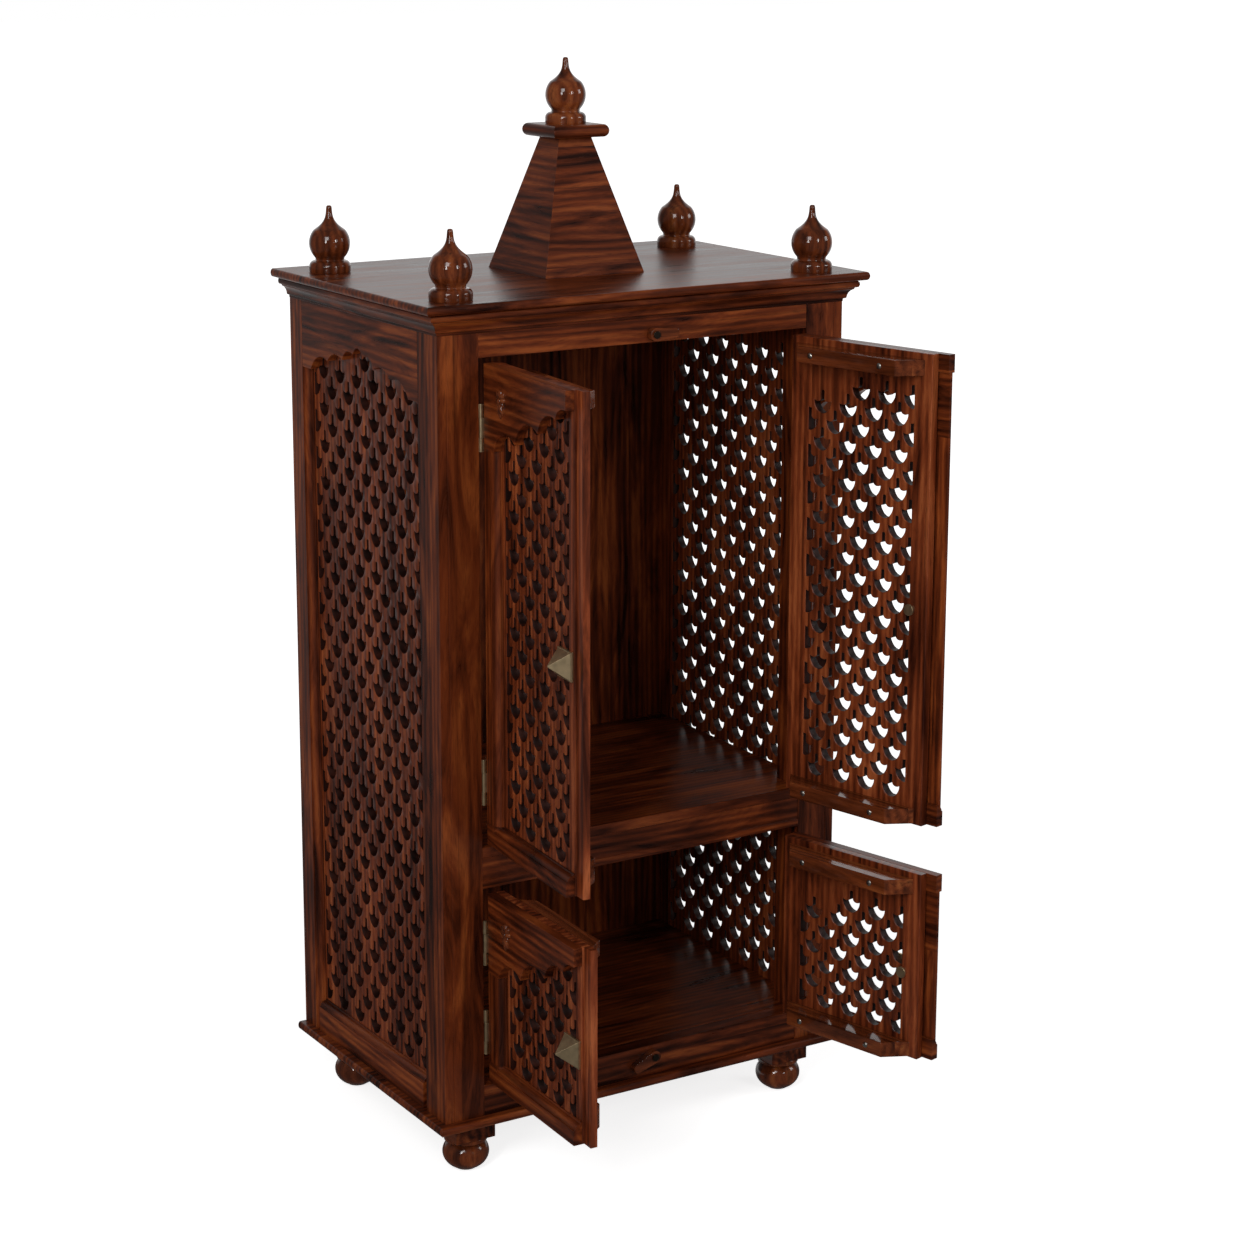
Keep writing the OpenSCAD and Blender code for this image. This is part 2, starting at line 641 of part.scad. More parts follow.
module leaf_board(z0, z1, board_u, holes) slab(trim_t, board_t)
    pierced([[0, z0], [board_u, z0], [board_u, z1], [0, z1]], holes);

module left_leaf(z0, z1, first_z) difference() {
    leaf_board(z0, z1, left_board_u, leaf_holes(z0, z1, left_first_u, first_z, left_roof));
    translate([left_trim_u, trim_t - past, z0 - past])
        cube([lap_w + past, board_t - lip_t + past, z1 - z0 + 2 * past]);
}

module batten(z, h) translate([0, 0, z]) linear_extrude(height = h) polygon([
    [batten_start, wall_t], [batten_start + batten_len, wall_t],
    [batten_start + batten_len - batten_slope, wall_t + batten_d], [batten_start + batten_slope, wall_t + batten_d]]);

module battens(z0, z1, low_h) {
    batten(z0 + batten_low_inset, low_h);
    batten(z1 - batten_top_inset - batten_h, batten_h);
}

module right_leaf(z0, z1, first_z)
    leaf_board(z0, z1, right_board_u, leaf_holes(z0, z1, right_first_u, first_z, right_roof));

module knob(z) translate([left_trim_u - knob_inset, trim_t, z]) rotate([90, 0, 0]) {
    translate([-knob_w / 2, -knob_w / 2, 0]) cube([knob_w, knob_w, knob_base_t]);
    translate([0, 0, knob_base_t]) rotate([0, 0, 45])
        cylinder(r1 = knob_w * sqrt(0.5) * 0.94, r2 = 0.8, h = knob_h, $fn = 4);
    translate([0, 0, -board_t - washer_t]) cylinder(r = washer_r, h = washer_t, $fn = round_n);
}

// Butt hinges, whose middle knuckle turns with the leaf
middle_len = hinge_len * middle_share;
end_len = (hinge_len - middle_len) / 2 - play;

module at_hinges(z0, z1, inset) for (z = [z0 + inset, z1 - inset]) translate([0, 0, z]) children();

module knuckle(z, h) translate([0, 0, z]) cylinder(r = knuckle_r, h = h, $fn = round_n);

module leaf_hinge() {
    difference() {
        union() {
            translate([-pin_u, -pin_w, 0]) knuckle(-middle_len / 2, middle_len);
            translate([-plate_t, -pin_w, -middle_len / 2]) cube([plate_t, pin_w + plate_w, middle_len]);
            translate([-plate_t, play, -hinge_len / 2]) cube([plate_t, plate_w - play, hinge_len]);
        }
        translate([-pin_u, -pin_w, -hinge_len]) cylinder(r = hinge_pin_r + pin_clear, h = 2 * hinge_len, $fn = round_n);
    }
}

module post_hinge() {
    for (z = [-hinge_len / 2, hinge_len / 2 - end_len]) {
        translate([-pin_u, -pin_w, 0]) knuckle(z, end_len);
        translate([-2 * pin_u, -pin_w, z]) cube([plate_t, pin_w + plate_w, end_len]);
    }
    translate([-2 * pin_u, play, -hinge_len / 2]) cube([plate_t, plate_w - play, hinge_len]);
    translate([-pin_u, -pin_w, -hinge_len / 2]) cylinder(r = hinge_pin_r, h = hinge_len, $fn = round_n);
}

module hinge_posts() color(brass) for (side = [-1, 1]) {
    hang(side, 0) at_hinges(up_z0, up_z1, upper_hinge_inset) post_hinge();
    hang(side, 0) at_hinges(low_z0, low_z1, lower_hinge_inset) post_hinge();
}

module upper_left_lattice() color(sheesham_red)
    hang(-1, open_upper_left) left_leaf(up_z0, up_z1, upper_left_first_z);
module upper_left_trim() color(sheesham) hang(-1, open_upper_left) leaf_trim(up_z0, up_z1, left_trim_u);
module upper_left_battens() color(sheesham_dark)
    hang(-1, open_upper_left) battens(up_z0, up_z1, tall_batten_h);
module upper_left_knob() color(brass) hang(-1, open_upper_left) knob(up_z0 + upper_knob_z);
module upper_left_hinges() color(brass)
    hang(-1, open_upper_left) at_hinges(up_z0, up_z1, upper_hinge_inset) leaf_hinge();

module lower_left_lattice() color(sheesham_red)
    hang(-1, open_lower_left) left_leaf(low_z0, low_z1, lower_first_z);
module lower_left_trim() color(sheesham) hang(-1, open_lower_left) leaf_trim(low_z0, low_z1, left_trim_u);
module lower_left_battens() color(sheesham_dark)
    hang(-1, open_lower_left) battens(low_z0, low_z1, tall_batten_h);
module lower_left_knob() color(brass) hang(-1, open_lower_left) knob(low_z0 + lower_knob_z);
module lower_left_hinges() color(brass)
    hang(-1, open_lower_left) at_hinges(low_z0, low_z1, lower_hinge_inset) leaf_hinge();

module right_trim(z0, z1) {
    leaf_trim(z0, z1, right_strip_u);
    meeting_strip(z0, z1);
}

module upper_right_lattice() color(sheesham_red)
    hang(1, open_upper_right) right_leaf(up_z0, up_z1, upper_right_first_z);
module upper_right_trim() color(sheesham) hang(1, open_upper_right) right_trim(up_z0, up_z1);
module upper_right_battens() color(sheesham_dark) hang(1, open_upper_right) battens(up_z0, up_z1, batten_h);
module upper_right_knob() color(brass) hang(1, open_upper_right) knob(up_z0 + upper_knob_z);
module upper_right_hinges() color(brass)
    hang(1, open_upper_right) at_hinges(up_z0, up_z1, upper_hinge_inset) leaf_hinge();

module lower_right_lattice() color(sheesham_red)
    hang(1, open_lower_right) right_leaf(low_z0, low_z1, lower_first_z);
module lower_right_trim() color(sheesham) hang(1, open_lower_right) right_trim(low_z0, low_z1);
module lower_right_battens() color(sheesham_dark) hang(1, open_lower_right) battens(low_z0, low_z1, batten_h);
module lower_right_knob() color(brass) hang(1, open_lower_right) knob(low_z0 + lower_knob_z);
module lower_right_hinges() color(brass)
    hang(1, open_lower_right) at_hinges(low_z0, low_z1, lower_hinge_inset) leaf_hinge();

feet();
foot_blocks();
base_board();
post_front_left();
post_front_right();
stile_back_left();
stile_back_right();
side_left_rails();
side_right_rails();
side_left_lattice();
side_right_lattice();
back_panel();
floor_board();
shelf_board();
mid_rail();
header_rail();
bottom_rail();
cornice_moulding();
top_board();
tower();
tower_cap();
tower_finial();
corner_finials();
hinge_posts();
button_screws();
turn_button_top();
turn_button_bottom();
upper_left_lattice();
upper_left_trim();
upper_left_battens();
upper_left_knob();
upper_left_hinges();
upper_right_lattice();
upper_right_trim();
upper_right_battens();
upper_right_knob();
upper_right_hinges();
lower_left_lattice();
lower_left_trim();
lower_left_battens();
lower_left_knob();
lower_left_hinges();
lower_right_lattice();
lower_right_trim();
lower_right_battens();
lower_right_knob();
lower_right_hinges();
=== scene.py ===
"""Small sheesham shrine cabinet: the visual pieces, their materials and a studio stage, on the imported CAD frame."""

import json
import math
import random

import bmesh
import bpy
from bpy.props import FloatProperty, IntProperty, PointerProperty
from mathutils import Matrix, Vector

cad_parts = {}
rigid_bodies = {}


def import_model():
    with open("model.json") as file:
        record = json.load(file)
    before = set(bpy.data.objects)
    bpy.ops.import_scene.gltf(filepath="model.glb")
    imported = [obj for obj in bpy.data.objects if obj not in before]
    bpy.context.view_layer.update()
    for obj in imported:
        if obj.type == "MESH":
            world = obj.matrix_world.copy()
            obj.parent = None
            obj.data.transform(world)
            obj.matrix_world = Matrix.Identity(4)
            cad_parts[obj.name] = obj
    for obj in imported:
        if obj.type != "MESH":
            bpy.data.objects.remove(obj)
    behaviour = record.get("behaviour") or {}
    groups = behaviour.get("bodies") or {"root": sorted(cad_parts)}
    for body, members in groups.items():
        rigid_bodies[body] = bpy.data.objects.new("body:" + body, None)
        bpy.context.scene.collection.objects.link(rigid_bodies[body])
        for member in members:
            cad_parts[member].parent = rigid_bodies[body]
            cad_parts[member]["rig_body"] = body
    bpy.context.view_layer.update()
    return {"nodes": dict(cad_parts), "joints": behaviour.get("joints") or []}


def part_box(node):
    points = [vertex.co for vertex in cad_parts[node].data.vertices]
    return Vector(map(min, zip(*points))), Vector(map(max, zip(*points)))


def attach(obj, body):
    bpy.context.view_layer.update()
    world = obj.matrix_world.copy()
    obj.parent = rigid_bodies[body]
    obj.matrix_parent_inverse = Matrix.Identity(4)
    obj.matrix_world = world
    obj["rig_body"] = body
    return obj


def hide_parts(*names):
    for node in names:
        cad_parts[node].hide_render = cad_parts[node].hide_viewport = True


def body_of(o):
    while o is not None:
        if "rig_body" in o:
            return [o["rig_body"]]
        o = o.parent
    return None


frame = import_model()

bl_info = {
    "name": "Sheesham shrine cabinet",
    "version": (1, 0, 0),
    "blender": (4, 5, 0),
    "location": "View3D > Sidebar > Shrine",
    "description": "Builds a pierced shrine cabinet on its CAD frame",
    "category": "Object",
}

MM = 0.001
NODES = frame["nodes"]
JOINTS = {j["name"]: j for j in frame["joints"]}
LEAVES = ("upper_left", "upper_right", "lower_left", "lower_right")

# The carcass in millimetres, from the middle of the base board's top
BODY_D = 351.0
BODY_H = 870.0
SIDE_X = 257.5
POST_D = 44.0
STILE_D = 30.0
TRIM_T = 10.0
BOARD_T = 10.5
SIDE_BOARD_T = 9.5
WALL_T = TRIM_T + BOARD_T
LIP_T = 8.0
TRIM_HEAD = 90.0
TRIM_FOOT = 24.5
PIN_U = 2.5
PIN_W = 2.4
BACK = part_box("back_panel")
BODY_Y = BACK[1].y - BODY_D / 2 * MM
BASE_Z = BACK[0].z
PANEL_Y0 = POST_D - BODY_D / 2
PANEL_Y1 = BODY_D / 2 - STILE_D

# Half a cut-out, round the middle of the line between its tips
CUP_SIDE = (
    (1.3, 12.1), (2.1, 11.2), (2.1, 2.4), (2.6, 1.3), (4.0, -0.1), (6.0, -0.8), (8.3, -0.9), (10.4, -0.35),
    (12.1, 0.42), (11.8, -2.4), (10.9, -5.2), (9.1, -8.3), (6.65, -11.2), (3.6, -13.0))
CUP_LOW = (0.0, -14.0)
STEM_R = 2.1
STEM_TOP = 12.0

# Where each board's pattern starts: shift to the back and first cup height on a side, first column and first cup
# height on a leaf, then the drop, slope and least drop of the line under which a leaf's cut-outs show
SIDE_STARTS = {"left": (3.2, 53.5), "right": (8.4, 55.6)}
LEAF_STARTS = {
    "upper_left": (32.8, 20.1, 77, 0.4375, 20), "lower_left": (32.8, 37.4, 77, 0.4375, 20),
    "upper_right": (27.0, 17.5, 73, 0.35, 40), "lower_right": (27.0, 37.4, 73, 0.35, 40)}

# Middles of the turned pieces, across and back in millimetres
FOOT_PLACES = ((-212.0, -137.0), (212.0, -137.0), (-212.0, 132.5), (212.0, 132.5))
FINIAL_PLACES = ((-231.0, -157.9), (226.8, -157.9), (-235.0, 116.1), (226.8, 118.9))
TOWER_PLACES = ((0.0, -3.0),)


class ShrineWood(bpy.types.PropertyGroup):
    """Look of the wood."""

    strip_w: FloatProperty(name="Strip width", description="Width of one glued strip of a board in mm", default=64.0)
    ring_gap: FloatProperty(name="Ring gap", description="Distance between growth lines in mm", default=9.0)
    ease: FloatProperty(name="Eased edge", description="Rounding of a board's sanded edges in mm", default=0.8)
    fine_ease: FloatProperty(name="Fine edge", description="Rounding of a moulded piece's edges in mm", default=0.35)


class ShrinePattern(bpy.types.PropertyGroup):
    """Sizes of the pierced pattern."""

    side_col: FloatProperty(name="Side column", description="Column distance on the sides in mm", default=20.5)
    side_row: FloatProperty(name="Side row", description="Row distance on the sides in mm", default=42.6)
    side_ends: IntProperty(name="Side columns", description="Columns on each side of the middle one", default=6)
    door_col: FloatProperty(name="Door column", description="Column distance on the doors in mm", default=18.0)
    door_row: FloatProperty(name="Door row", description="Row distance on the doors in mm", default=41.7)
    door_cols: IntProperty(name="Door columns", description="Number of the last column on a door", default=8)
    rim: FloatProperty(name="Rim", description="Rounding of a cut-out's rim in mm", default=0.7)


class ShrineStage(bpy.types.PropertyGroup):
    """Strengths of the studio's lights."""

    key: FloatProperty(name="Key", description="Power of the large lamp on the left in watts", default=36.0)
    fill: FloatProperty(name="Fill", description="Power of the lamp on the right in watts", default=20.0)
    strip: FloatProperty(name="Strips", description="Power of each of the two narrow lamps in watts", default=17.0)
    room: FloatProperty(name="Room", description="Strength of the light from all round", default=0.22)
    glow: FloatProperty(name="Glow", description="Light of the floor where it is seen", default=0.795)


def colour(code):
    """Linear colour of an sRGB hex code."""
    parts = [int(code[i:i + 2], 16) / 255 for i in (1, 3, 5)]
    return tuple(p / 12.92 if p <= 0.04045 else ((p + 0.055) / 1.055) ** 2.4 for p in parts) + (1.0,)


def add(tree, kind, inputs=(), **settings):
    """Adds one node, sets its options and fills its inputs with values or links."""
    made = tree.nodes.new(kind)
    for key, value in settings.items():
        setattr(made, key, value)
    for key, value in dict(inputs).items():
        if isinstance(value, bpy.types.NodeSocket):
            tree.links.new(value, made.inputs[key])
        else:
            made.inputs[key].default_value = value
    return made


def fresh(name):
    """A material by name with an empty node tree."""
    made = bpy.data.materials.new(name)
    made.use_nodes = True
    made.node_tree.nodes.clear()
    return made


def sheesham(name, tones, spread, gloss, shine):
    """Sheesham boards, sawn, edge-glued, sanded, stained and sprayed with gloss lacquer."""
    wood = bpy.context.scene.shrine_wood
    made = fresh(name)
    tree = made.node_tree
    grain = add(tree, "ShaderNodeAttribute", attribute_name="grain").outputs["Vector"]
    across = add(tree, "ShaderNodeSeparateXYZ", {0: grain}).outputs["Y"]
    strip = add(tree, "ShaderNodeMath", {0: across, 1: 1 / (wood.strip_w * MM)}, operation="MULTIPLY").outputs[0]
    strip = add(tree, "ShaderNodeMath", {0: strip}, operation="FLOOR").outputs[0]
    chance = add(tree, "ShaderNodeTexWhiteNoise", {"W": strip}, noise_dimensions="1D").outputs
    jump = add(tree, "ShaderNodeVectorMath", {0: chance["Color"], "Scale": 3.0}, operation="SCALE").outputs[0]
    place = add(tree, "ShaderNodeVectorMath", {0: grain, 1: jump}, operation="ADD").outputs[0]

    broad = add(tree, "ShaderNodeVectorMath", {0: place, 1: (5.5, 36, 36)}, operation="MULTIPLY").outputs[0]
    figure = add(tree, "ShaderNodeTexNoise", {
        "Vector": broad, "Scale": 1.0, "Detail": 5.0, "Roughness": 0.62, "Distortion": 1.1}).outputs[0]
    long = add(tree, "ShaderNodeVectorMath", {0: place, 1: (0.11, 1, 1)}, operation="MULTIPLY").outputs[0]
    rings = add(tree, "ShaderNodeTexWave", {
        "Vector": long, "Scale": 2 * math.pi / (20 * wood.ring_gap * MM), "Distortion": 14.0, "Detail": 3.0,
        "Detail Scale": 0.3, "Detail Roughness": 0.6}, bands_direction="Y").outputs["Fac"]
    drawn = add(tree, "ShaderNodeVectorMath", {0: place, 1: (3.0, 140, 140)}, operation="MULTIPLY").outputs[0]
    streaks = add(tree, "ShaderNodeTexNoise", {"Vector": drawn, "Scale": 1.0, "Detail": 3.0, "Distortion": 0.6}).outputs[0]
    streaks = add(tree, "ShaderNodeMapRange", {0: streaks, 1: 0.54, 2: 0.7}).outputs[0]
    thin = add(tree, "ShaderNodeVectorMath", {0: place, 1: (70, 1300, 1300)}, operation="MULTIPLY").outputs[0]
    pores = add(tree, "ShaderNodeTexNoise", {"Vector": thin, "Scale": 1.0, "Detail": 2.0}).outputs[0]
    pores = add(tree, "ShaderNodeMapRange", {0: pores, 1: 0.54, 2: 0.74}).outputs[0]

    lines = add(tree, "ShaderNodeMath", {0: rings, 1: 0.13, 2: -0.065}, operation="MULTIPLY_ADD").outputs[0]
    value = add(tree, "ShaderNodeMath", {0: figure, 1: lines}, operation="ADD").outputs[0]
    ramp = add(tree, "ShaderNodeValToRGB", {0: value})
    stops = ramp.color_ramp.elements
    for i, (at, code) in enumerate(tones):
        stop = stops[i] if i < 2 else stops.new(at)
        stop.position = at
        stop.color = colour(code)
    level = add(tree, "ShaderNodeMapRange", {0: chance["Value"], 3: 1 - spread, 4: 1 + spread}).outputs[0]
    toned = add(tree, "ShaderNodeHueSaturation", {"Value": level, "Color": ramp.outputs[0]}).outputs[0]
    dark = add(tree, "ShaderNodeMath", {0: pores, 1: 0.5}, operation="MULTIPLY").outputs[0]
    dark = add(tree, "ShaderNodeMath", {0: streaks, 1: 0.5, 2: dark}, operation="MULTIPLY_ADD", use_clamp=True).outputs[0]
    mixed = add(tree, "ShaderNodeMix", {0: dark, 6: toned, 7: colour("#1a0703")}, data_type="RGBA").outputs[2]

    rough = add(tree, "ShaderNodeMapRange", {0: figure, 1: 0.3, 2: 0.7, 3: gloss, 4: 1.4 * gloss}).outputs[0]
    relief = add(tree, "ShaderNodeMath", {0: rings, 1: 0.2, 2: pores}, operation="MULTIPLY_ADD").outputs[0]
    bump = add(tree, "ShaderNodeBump", {"Strength": 0.25, "Distance": 0.0001, "Height": relief}, invert=True)
    shader = add(tree, "ShaderNodeBsdfPrincipled", {
        "Base Color": mixed, "Roughness": rough, "Specular IOR Level": shine, "Normal": bump.outputs[0]})
    add(tree, "ShaderNodeOutputMaterial", {0: shader.outputs[0]})
    return made


def metal(name, code, rough, scale):
    """Worn metal fitting, cast or pressed, then buffed by hand."""
    made = fresh(name)
    tree = made.node_tree
    place = add(tree, "ShaderNodeTexCoord").outputs["Object"]
    smudge = add(tree, "ShaderNodeTexNoise", {"Vector": place, "Scale": scale, "Detail": 3.0}).outputs[0]
    spread = add(tree, "ShaderNodeMapRange", {0: smudge, 3: rough - 0.08, 4: rough + 0.16}).outputs[0]
    tint = add(tree, "ShaderNodeMapRange", {0: smudge, 3: 0.75, 4: 1.15}).outputs[0]
    toned = add(tree, "ShaderNodeHueSaturation", {"Value": tint, "Color": colour(code)}).outputs[0]
    shader = add(tree, "ShaderNodeBsdfPrincipled", {"Base Color": toned, "Metallic": 1.0, "Roughness": spread})
    add(tree, "ShaderNodeOutputMaterial", {0: shader.outputs[0]})
    return made


def finishes():
    """The object's materials, made once and then found by slot."""
    if "Sheesham, dark lacquer" not in bpy.data.materials:
        # Indian rosewood, Dalbergia sissoo, stained dark and lacquered
        sheesham("Sheesham, dark lacquer", (
            (0.3, "#260c05"), (0.43, "#4f200d"), (0.54, "#6e2f13"), (0.7, "#94491f")), 0.14, 0.26, 0.22)
        # The same wood on turned pieces and battens, with a thicker lacquer
        sheesham("Sheesham, turned", (
            (0.26, "#32130a"), (0.43, "#562712"), (0.57, "#74371b"), (0.74, "#925029")), 0.08, 0.05, 0.5)
        # The same wood in the pierced boards, redder where it was cut through
        sheesham("Sheesham, pierced board", (
            (0.3, "#331107"), (0.43, "#5f2812"), (0.54, "#80391b"), (0.7, "#a8582f")), 0.16, 0.28, 0.28)
        # The walls of the cut-outs, much darker than the board as painted shade inside the holes
        sheesham("Sheesham, cut walls in painted shade", (
            (0.26, "#140603"), (0.43, "#220b05"), (0.55, "#30120a"), (0.74, "#431c10")), 0.1, 0.4, 0.25)
        # Cast brass, dulled by age
        metal("Brass, aged", "#d6bd95", 0.42, 160.0)
        # Blackened screws of the turn buttons
        metal("Screws, blackened", "#4a4038", 0.3, 700.0)
        # Zinc-plated steel screws
        metal("Steel, zinc plated", "#b9b4ac", 0.3, 900.0)
    return {
        "sheesham": bpy.data.materials["Sheesham, dark lacquer"],
        "sheesham_dark": bpy.data.materials["Sheesham, turned"],
        "sheesham_red": bpy.data.materials["Sheesham, pierced board"],
        "cut": bpy.data.materials["Sheesham, cut walls in painted shade"],
        "brass": bpy.data.materials["Brass, aged"],
        "iron": bpy.data.materials["Screws, blackened"],
        "steel": bpy.data.materials["Steel, zinc plated"],
    }


def body_matrix():
    """From the carcass's millimetres to the row frame."""
    return Matrix.Translation((0, BODY_Y, BASE_Z)) @ Matrix.Scale(MM, 4)


def leaf_matrix(leaf):
    """From a leaf's own millimetres, u from the hinge edge, w inwards and z up, to the row frame."""
    joint = JOINTS[leaf + "_door_hinge"]
    side = -1 if "left" in leaf else 1
    opened = math.radians(joint["range_deg"][1] if side < 0 else -joint["range_deg"][0])
    hung = Matrix.Translation((*joint["pos_m"][:2], BASE_Z)) @ Matrix.Rotation(side * opened, 4, "Z")
    if side > 0:
        hung = hung @ Matrix.Scale(-1, 4, (1, 0, 0))
    return hung @ Matrix.Translation((PIN_U * MM, PIN_W * MM, 0)) @ Matrix.Scale(MM, 4)


def axes_of(matrix):
    """The three directions of a piece's own frame in the row frame."""
    return [matrix.col[i].xyz.normalized() for i in range(3)]


def leaf_of(node):
    """The leaf that a node belongs to, or None."""
    return next((leaf for leaf in LEAVES if node.startswith(leaf)), None)


def islands(bm):
    """The connected groups of faces of a mesh."""
    left = set(bm.faces)
    found = []
    while left:
        group = [left.pop()]
        for face in group:
            for edge in face.edges:
                for other in edge.link_faces:
                    if other in left:
                        left.remove(other)
                        group.append(other)
        found.append(group)
    return found


def lay_grain(bm, axes, name, rule):
    """Writes for each face corner how far it lies along and across its board's grain."""
    layer = bm.loops.layers.float_vector.new("grain")
    chance = random.Random(name)
    for group in islands(bm):
        spans = []
        for axis in axes:
            along = [v.co.dot(axis) for face in group for v in face.verts]
            spans.append(max(along) - min(along))
        longest = spans.index(max(spans))
        jump = Vector((chance.uniform(0, 9), chance.uniform(0, 9), chance.uniform(0, 9)))
        for face in group:
            first = rule(face) if callable(rule) else longest
            if rule == "around":
                first = 1 if abs(face.normal.dot(axes[0])) > abs(face.normal.dot(axes[1])) else 0
            elif rule in (0, 1, 2):
                first = rule
            second = 2 if first != 2 else (0 if spans[0] > spans[1] else 1)
            if first != 2 and spans[2] < min(spans[0], spans[1]) and rule != "around":
                second = 1 - first
            third = 3 - first - second
            side = 5.0 * (first == 1) if rule == "around" else 0.0
            for loop in face.loops:
                p = loop.vert.co
                loop[layer] = jump + Vector((p.dot(axes[first]) + side, p.dot(axes[second]), p.dot(axes[third])))


def land(bm, name, material, sharp=35.0):
    """Makes the finished piece of this mesh, smooth but for its real edges."""
    data = bpy.data.meshes.new(name)
    bm.to_mesh(data)
    bm.free()
    data.materials.append(material)
    data.shade_smooth()
    data.set_sharp_from_angle(angle=math.radians(sharp))
    made = bpy.data.objects.new(name.replace(" ", "_"), data)
    bpy.context.scene.collection.objects.link(made)
    return made


def settle(made, node):
    """Lets a piece ride with the body of its CAD node and stand for it."""
    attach(made, body_of(NODES[node])[0])
    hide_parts(node)


def eased(node, name, slot, ease, rule="longest"):
    """A sanded copy of a CAD node: the same shape with slightly rounded edges and its grain laid in."""
    leaf = leaf_of(node)
    axes = axes_of(leaf_matrix(leaf) if leaf else body_matrix())
    bm = bmesh.new()
    bm.from_mesh(NODES[node].data)
    bmesh.ops.remove_doubles(bm, verts=bm.verts, dist=2e-6)
    bmesh.ops.dissolve_limit(bm, angle_limit=math.radians(1), verts=bm.verts, edges=bm.edges)
    if node.endswith("_trim"):
        lo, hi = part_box(node)
        head, foot = hi.z - TRIM_HEAD * MM, lo.z + TRIM_FOOT * MM
        rule = lambda face: 2 if foot < face.calc_center_median().z < head else 0
    rims = [e for e in bm.edges if e.is_manifold and e.calc_face_angle(0) > math.radians(30)]
    bmesh.ops.bevel(bm, geom=rims, offset=ease * MM, affect="EDGES", segments=2, profile=0.5, material=-1,
                    clamp_overlap=True)
    if node.endswith("_trim"):
        for z in (head, foot):
            bmesh.ops.bisect_plane(bm, geom=[*bm.verts, *bm.edges, *bm.faces], plane_co=(0, 0, z), plane_no=(0, 0, 1))
    bmesh.ops.recalc_face_normals(bm, faces=bm.faces)
    lay_grain(bm, axes, node, rule)
    made = land(bm, name, finishes()[slot])
    even = made.modifiers.new("Even shading", "WEIGHTED_NORMAL")
    even.keep_sharp = True
    settle(made, node)
    return made


def cut_out(c, part):
    """Outline of one cut-out with its cup at c: 0 is whole, 1 its right half and -1 its left half."""
    right = list(CUP_SIDE)
    left = [(-x, y) for x, y in reversed(right)]
    if part > 0:
        shape = [(-STEM_R, STEM_TOP)] + right[1:] + [CUP_LOW, (-STEM_R, CUP_LOW[1] + STEM_R * 0.3)]
    elif part < 0:
        shape = [(STEM_R, STEM_TOP), (STEM_R, CUP_LOW[1] + STEM_R * 0.3), CUP_LOW] + left[:-1]
    else:
        shape = right + [CUP_LOW] + left
    return [Vector((c[0] + x, c[1] + y)) for x, y in shape]


def grown(outline, by):
    """The outline moved outwards by this much, with its corners kept."""
    area = sum(a.cross(b) for a, b in zip(outline, outline[1:] + outline[:1]))
    turn = 1 if area > 0 else -1
    moved = []
    for i, p in enumerate(outline):
        a = (p - outline[i - 1]).normalized()
        b = (outline[(i + 1) % len(outline)] - p).normalized()
        out = Vector((a.y + b.y, -a.x - b.x)) * turn
        cosine = max(0.45, out.length / 2)
        moved.append(p + out.normalized() * (by / cosine))
    return moved


def side_holes(pattern, label):
    """Cut-outs of a side board, in the carcass's y and z."""
    shift, first_z = SIDE_STARTS[label]
    r = (PANEL_Y1 - PANEL_Y0) / 2 - 8
    mid = (PANEL_Y0 + PANEL_Y1) / 2 + shift
    arch_z = BODY_H - 75
    found = []
    for k in range(-pattern.side_ends, pattern.side_ends + 1):
        z = first_z + (pattern.side_row / 2 if k % 2 else 0)
        while z < arch_z - 4 + 39 * (1 - 0.9 * abs(k * pattern.side_col) / r):
            found.append(cut_out((mid + k * pattern.side_col, z), {pattern.side_ends: -1, -pattern.side_ends: 1}.get(k, 0)))
            z += pattern.side_row
    return found


def door_holes(pattern, leaf, z0, z1):
    """Cut-outs of a leaf's board, in its u and z."""
    first_u, first_z, drop, slope, least = LEAF_STARTS[leaf]
    found = []
    for k in range(pattern.door_cols + 1):
        u = first_u + k * pattern.door_col
        roof = z1 - max(least, drop - slope * (u - 24))
        z = z0 + first_z + (pattern.door_row / 2 if k % 2 else 0) - pattern.door_row
        while z < roof:
            if z > z0 + 24.5 + 14 - 3:
                found.append(cut_out((u, z), {0: 1, pattern.door_cols: -1}.get(k, 0)))
            z += pattern.door_row
    return found


def board(bm, outline, holes, place, w0, w1, rim):
    """A pierced board from depth w0 to w1, with rounded rims; place turns (across, up, depth) into the row frame."""
    steps = ((w0, rim), (w0 + 0.3 * rim, 0.3 * rim), (w0 + rim, 0.0), (w1 - rim, 0.0), (w1, rim))
    faces = [[], []]
    for shape, sign in [(outline, -1)] + [(h, 1) for h in holes]:
        rings = []
        for w, out in steps:
            rings.append([bm.verts.new(place(p.x, p.y, w)) for p in grown(shape, sign * out)])
        n = len(shape)
        for k, (a, b) in enumerate(zip(rings, rings[1:])):
            for i in range(n):
                wall = bm.faces.new((a[i], a[(i + 1) % n], b[(i + 1) % n], b[i]))
                # The inner part of the front rim and the wall of each cut-out take the second material, painted shade
                # inside the holes; the outer front rim and the back rim keep the board's colour.
                wall.material_index = 1 if sign > 0 and k in (1, 2) else 0
        for cap, ring in zip(faces, (rings[0], rings[-1])):
            cap += [bm.edges.get((ring[i], ring[(i + 1) % n])) for i in range(n)]
    for cap in faces:
        bmesh.ops.triangle_fill(bm, edges=cap, use_beauty=True, use_dissolve=False)


def block(bm, lo, hi, matrix):
    """A plain block between two corners, in the frame of matrix."""
    lo, hi = Vector(lo), Vector(hi)
    shape = Matrix.Translation((lo + hi) / 2) @ Matrix.Diagonal((*(hi - lo), 1))
    bmesh.ops.create_cube(bm, size=1, matrix=matrix @ shape)


